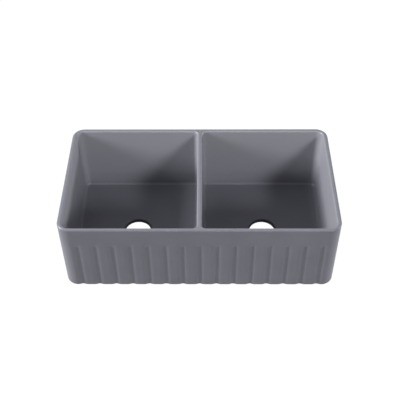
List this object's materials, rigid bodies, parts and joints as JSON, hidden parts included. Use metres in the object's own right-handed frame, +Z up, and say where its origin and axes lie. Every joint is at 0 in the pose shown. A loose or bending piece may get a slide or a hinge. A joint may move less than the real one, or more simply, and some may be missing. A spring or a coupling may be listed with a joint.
{
  "type": "farmhouse apron front sink",
  "caption": "Double-bowl farmhouse kitchen sink in glazed fireclay, with a fluted apron front, a divider level with the rim and an open outlet in each bowl.",
  "frame": {"origin": "middle of the plan outline, on the underside that the sink stands on", "axes": "+X along the sink's width to the right, +Y from the fluted apron to the plain back, +Z up"},
  "size_m": [0.838, 0.452, 0.257],
  "materials": {
    "glaze": "satin grey glaze"
  },
  "bodies": {
    "root": {"apron_front": "glaze", "wall_back": "glaze", "wall_left": "glaze", "wall_right": "glaze", "divider": "glaze", "floor_left": "glaze", "floor_right": "glaze", "outlet_left": "glaze", "outlet_right": "glaze"}
  },
  "joints": []
}
